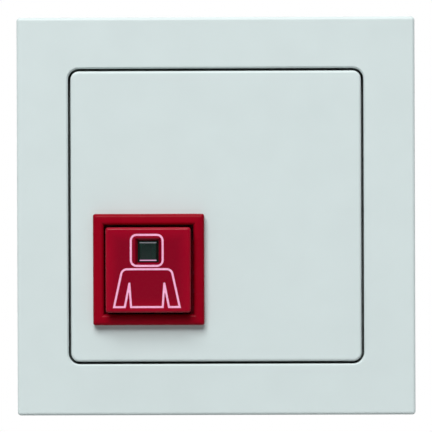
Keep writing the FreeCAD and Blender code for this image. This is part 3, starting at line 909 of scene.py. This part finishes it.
def rubber_dome():
    """Bell-shaped rubber dome under the switch's plunger."""
    low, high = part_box("contact_dome")
    centre = (low + high) / 2
    outer = (high.x - low.x) / 2
    height = high.y - low.y
    least = dome_least_radius
    profile = [(low.y + height * depth, max(outer * radius, least)) for depth, radius in dome_bell]
    inside = [
        (min(depth + dome_wall, high.y - dome_wall / 4), max(radius - dome_wall, least))
        for depth, radius in profile[1:-1]
    ]
    profile += [(high.y, outer - dome_wall)] + inside[::-1]
    build = bmesh.new()
    ring_sweep(build, turned_rings(profile, centre, 36))
    piece = new_piece("rubber_dome", build, "insert", finishes["dome_rubber"])
    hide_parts("contact_dome")
    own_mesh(piece)


# Screws


def thread_rings(centre, start, length, radius, steps=28):
    """Rings of a threaded shank: the ridge follows the angle, and the tip tapers."""
    rings = []
    rows = int(length / screw_pitch * thread_rows)
    for row in range(rows + 1):
        along = length * row / rows
        taper = min(1.0, tip_share + (1 - tip_share) * (length - along) / tip_length)
        fade = min(1.0, along / screw_pitch)
        ring = []
        for step in range(steps):
            phase = (along / screw_pitch - step / steps) % 1.0
            ridge = max(0.0, 1.0 - abs(phase - 0.5) / thread_half)
            here = (radius - thread_depth + thread_depth * ridge * fade) * taper
            ring.append(around(centre, start + along, here, 2 * math.pi * step / steps))
        rings.append(ring)
    return rings


def cross_recess(centre, front):
    """Cutter for a cross recess that narrows inwards."""
    build = bmesh.new()
    for long_x in (True, False):
        rows = []
        for depth, share in ((-recess_over, 1.0), (recess_depth, recess_end_share)):
            half_long = recess_length / 2 * share
            half_short = recess_width / 2 * (0.5 + share / 2)
            half_x, half_z = (half_long, half_short) if long_x else (half_short, half_long)
            rows.append(
                [
                    Vector((centre.x + sx * half_x, front + depth, centre.z + sz * half_z))
                    for sx, sz in ((-1, -1), (1, -1), (1, 1), (-1, 1))
                ]
            )
        ring_sweep(build, rows)
    return new_object("recess_cutter", build)


def cut_away(piece, cutter):
    """The piece's mesh with the cutter's shape taken out of it."""
    cut = piece.modifiers.new("cut", "BOOLEAN")
    cut.operation = "DIFFERENCE"
    cut.solver = "EXACT"
    cut.use_self = True
    cut.object = cutter
    whole = bpy.context.evaluated_depsgraph_get()
    carved = bpy.data.meshes.new_from_object(piece.evaluated_get(whole))
    piece.modifiers.clear()
    piece.data = carved
    bpy.data.objects.remove(cutter)


def pan_screw(name, centre, front, seat, end, head_radius, shank_radius, node):
    """A screw with a domed head, a cross recess and a threaded shank.

    The head's profile is pairs of depth and radius.
    """
    crown = [
        (front, head_radius * 0.001),
        (front, head_radius * 0.4),
        (front + head_crown * 0.25, head_radius * 0.72),
        (front + head_crown, head_radius * 0.93),
        (front + head_crown * 2, head_radius),
        (seat, head_radius),
    ]
    build = bmesh.new()
    shank = thread_rings(centre, seat, end - seat, shank_radius)
    head = turned_rings(crown, centre, len(shank[0]))
    ring_sweep(build, head + shank)
    piece = new_piece(name, build, "insert", finishes["screw_steel"])
    cut_away(piece, cross_recess(centre, front))
    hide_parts(node)


def screws(node, names, head_radius, shank_radius, seat, places):
    """The screws that stand for one node, each as long as the node is deep."""
    low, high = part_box(node)
    for name, centre in zip(names, places):
        pan_screw(name, centre, low.y, seat, high.y, head_radius, shank_radius, node)


def all_screws():
    """Two screws through the module cover, and two that hold the board."""
    low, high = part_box("housing_screws")
    radius = high.x
    reach = high.z - radius
    screws(
        "housing_screws",
        ("housing_screw_upper", "housing_screw_lower"),
        radius,
        housing_shank_radius,
        low.y + housing_head_height,
        (Vector((0, 0, reach)), Vector((0, 0, -reach))),
    )
    low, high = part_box("board_screws")
    reach = high.z - board_head_radius
    screws(
        "board_screws",
        ("board_screw_left", "board_screw_right"),
        board_head_radius,
        board_shank_radius,
        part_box("circuit_board")[0].y,
        (Vector((-reach, 0, reach)), Vector((reach, 0, -reach))),
    )


# Solder joints on the board


def pin_centres(node, count_x, count_z):
    """Centres of a node's pins, which stand in even rows and columns."""
    low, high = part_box(node)
    half = pin_half_width[node]
    places = []
    for column in range(count_x):
        for row in range(count_z):
            share_x = column / max(count_x - 1, 1)
            share_z = row / max(count_z - 1, 1)
            x = low.x + half[0] + share_x * (high.x - low.x - 2 * half[0])
            z = low.z + half[1] + share_z * (high.z - low.z - 2 * half[1])
            places.append(Vector((x, 0, z)))
    return places


def solder_joints():
    """A hollow-sided cone of solder round each pin, on the side where the pin comes out."""
    board_low, board_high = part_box("circuit_board")
    build = bmesh.new()
    rear = pin_centres("switch_pins", 2, 2) + pin_centres("led_leads", 2, 1)
    front = pin_centres("terminal_pins", 4, 1)
    for places, face, outward in ((rear, board_high.y, 1), (front, board_low.y, -1)):
        profile = []
        for step in range(solder_steps + 1):
            share = step / solder_steps
            spare = (1 - solder_neck) * (1 - share) ** solder_hollow
            radius = solder_radius * (solder_neck + spare)
            profile.append((face + outward * solder_rise * share, radius))
        for centre in places:
            ring_sweep(build, turned_rings(profile, centre, 16))
    return new_piece("solder_joints", build, "insert", finishes["tinned_metal"])


# Marks moulded on the rear of the housing


def ring_mark(build, centre, face):
    """A raised ring, as an ejector pin leaves it."""
    outer, inner = ejector_radius, ejector_radius - ejector_line
    slope = ejector_line / 4
    profile = [
        (face - mark_height, outer),
        (face + mark_height / 2, outer),
        (face + mark_height, outer - slope),
        (face + mark_height, inner + slope),
        (face + mark_height / 2, inner),
        (face - mark_height, inner),
        (face - mark_height, outer),
    ]
    ring_sweep(build, turned_rings(profile, centre, 32), close_ends=False)


def dot_mark(build, centre, face):
    """A raised dot with a domed top."""
    profile = [
        (face - mark_height, pole_dot_radius),
        (face + mark_height * 0.4, pole_dot_radius),
        (face + mark_height * 0.8, pole_dot_radius * 0.8),
        (face + mark_height, pole_dot_radius * 0.4),
    ]
    ring_sweep(build, turned_rings(profile, centre, 16))


def gauge_mark(build, centre, face):
    """The raised shape of a stripped wire, which shows how much of it to bare."""
    half = (gauge_bare + gauge_sleeve) / 2
    step = gauge_sleeve - half
    outline = [
        (-half, -gauge_cover),
        (step, -gauge_cover),
        (step, -gauge_core),
        (half, -gauge_core),
        (half, gauge_core),
        (step, gauge_core),
        (step, gauge_cover),
        (-half, gauge_cover),
    ]
    corners = [Vector(point) for point in outline]
    rings = []
    for rise, inset in ((-mark_height, 0.0), (mark_height / 2, 0.0), (mark_height, gauge_slope)):
        flat = inset_outline(corners, inset)
        rings.append([Vector((centre.x + p.x, face + rise, centre.z + p.y)) for p in flat])
    ring_sweep(build, rings)


def housing_marks():
    """Ejector rings in the corners, one to four dots over the poles and a gauge below them."""
    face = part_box("module_base")[1].y
    low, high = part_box("terminal_block")
    middle = (low + high) / 2
    build = bmesh.new()
    for x, z in ejector_places:
        ring_mark(build, Vector((x, 0, z)) * MM, face)
    poles = [place.x for place in pin_centres("terminal_pins", 4, 1)]
    for number, x in enumerate(poles, 1):
        for dot in range(number):
            aside = (dot - (number - 1) / 2) * pole_dot_step
            dot_mark(build, Vector((x + aside, 0, high.z + pole_dot_gap)), face)
    gauge_mark(build, Vector((middle.x, 0, low.z - gauge_drop)), face)
    bmesh.ops.remove_doubles(build, verts=build.verts, dist=weld_reach)
    return new_piece("housing_marks", build, "insert", finishes["grey_plastic"])


coil_spring()
rubber_dome()
all_screws()
solder_joints()
housing_marks()
person_sign()


# Floor, lights and camera


def floor_material():
    """Pale floor that keeps the part's shadow, turns white further out and is clear from below."""
    material, tree, shader = new_material("pale_floor")
    place = object_place(tree)
    seen = seen_directly(tree, spread(tree, axes(tree, place)["Y"], -floor_fade_end, 0.0))
    grain = noise(tree, place, 400.0, 3.0, 0.6)
    pale = blend_colours(tree, grain, (0.8, 0.8, 0.8, 1.0), (0.84, 0.84, 0.84, 1.0))
    tree.links.new(blend_colours(tree, seen, floor_bounce, pale), shader.inputs["Base Color"])
    shader.inputs["Roughness"].default_value = 0.9
    shader.inputs["Specular IOR Level"].default_value = 0.0
    distance = add_node(
        tree, "ShaderNodeVectorMath", {0: place}, operation="LENGTH"
    ).outputs["Value"]
    far = spread(tree, distance, floor_fade_start, floor_fade_end, kind="SMOOTHSTEP")
    faded = maths(tree, "MULTIPLY", far, seen)
    white = add_node(tree, "ShaderNodeEmission", {"Color": (1, 1, 1, 1), "Strength": 1.0})
    mixed = add_node(
        tree,
        "ShaderNodeMixShader",
        {0: faded, 1: shader.outputs["BSDF"], 2: white.outputs["Emission"]},
    )
    under = add_node(tree, "ShaderNodeNewGeometry").outputs["Backfacing"]
    clear = add_node(tree, "ShaderNodeBsdfTransparent")
    one_sided = add_node(
        tree,
        "ShaderNodeMixShader",
        {0: under, 1: mixed.outputs["Shader"], 2: clear.outputs["BSDF"]},
    )
    tree.links.new(one_sided.outputs["Shader"], tree.nodes["Material Output"].inputs["Surface"])
    return material


def floor():
    """A level floor under the part."""
    build = bmesh.new()
    bmesh.ops.create_grid(build, x_segments=8, y_segments=8, size=floor_half)
    mesh = bpy.data.meshes.new("floor")
    build.to_mesh(mesh)
    build.free()
    piece = add_to_scene("floor", mesh)
    piece.location.z = -floor_drop
    dress(piece, floor_material())


def room_light():
    """White ground behind the part; a room that is bright above and behind, dim in front."""
    world = bpy.data.worlds.new("room")
    bpy.context.scene.world = world
    world.use_nodes = True
    tree = world.node_tree
    tree.nodes.clear()
    direction = add_node(tree, "ShaderNodeTexCoord").outputs["Generated"]
    parts = axes(tree, direction)
    up = maths(tree, "MAXIMUM", parts["Z"], 0.0)
    sky = maths(tree, "MULTIPLY", maths(tree, "MULTIPLY", up, up), sky_level)
    rear = spread(tree, parts["Y"], 0.0, 0.4, 0.0, rear_level, "SMOOTHSTEP")
    low_rear = maths(tree, "MULTIPLY", rear, maths(tree, "SUBTRACT", 1.0, up))
    level = maths(tree, "ADD", maths(tree, "ADD", sky, low_rear), room_level)
    seen = seen_directly(tree, spread(tree, parts["Y"], 0.0, 0.35, kind="SMOOTHSTEP"))
    unseen = maths(tree, "MULTIPLY", level, maths(tree, "SUBTRACT", 1.0, seen))
    strength = maths(tree, "ADD", unseen, seen)
    ground = add_node(
        tree, "ShaderNodeBackground", {"Color": (1.0, 1.0, 1.0, 1.0), "Strength": strength}
    )
    out = add_node(tree, "ShaderNodeOutputWorld")
    tree.links.new(ground.outputs["Background"], out.inputs["Surface"])


def area_light(name, place, width, height, power):
    """A soft lamp that faces the part."""
    lamp = bpy.data.lights.new(name, "AREA")
    lamp.shape = "RECTANGLE"
    lamp.size = width
    lamp.size_y = height
    lamp.energy = power
    holder = add_to_scene(name, lamp)
    holder.location = place
    holder.rotation_euler = (-place).to_track_quat("-Z", "Y").to_euler()


def photo_camera():
    """The camera that took the photograph."""
    lens = bpy.data.cameras.new("photo_camera")
    lens.sensor_width = sensor_width
    lens.lens = camera_lens
    lens.clip_start = 0.01
    holder = add_to_scene("photo_camera", lens)
    away = Vector(
        (
            math.sin(camera_azimuth) * math.cos(camera_elevation),
            -math.cos(camera_azimuth) * math.cos(camera_elevation),
            math.sin(camera_elevation),
        )
    )
    holder.location = camera_aim + away * camera_distance
    holder.rotation_mode = "QUATERNION"
    level = (-away).to_track_quat("-Z", "Y")
    holder.rotation_quaternion = level @ Matrix.Rotation(camera_roll, 3, "Z").to_quaternion()
    bpy.context.scene.camera = holder


floor()
room_light()
area_light("key_light", key_place, key_width, key_height, key_power)
photo_camera()
bpy.context.scene.view_settings.view_transform = "Standard"
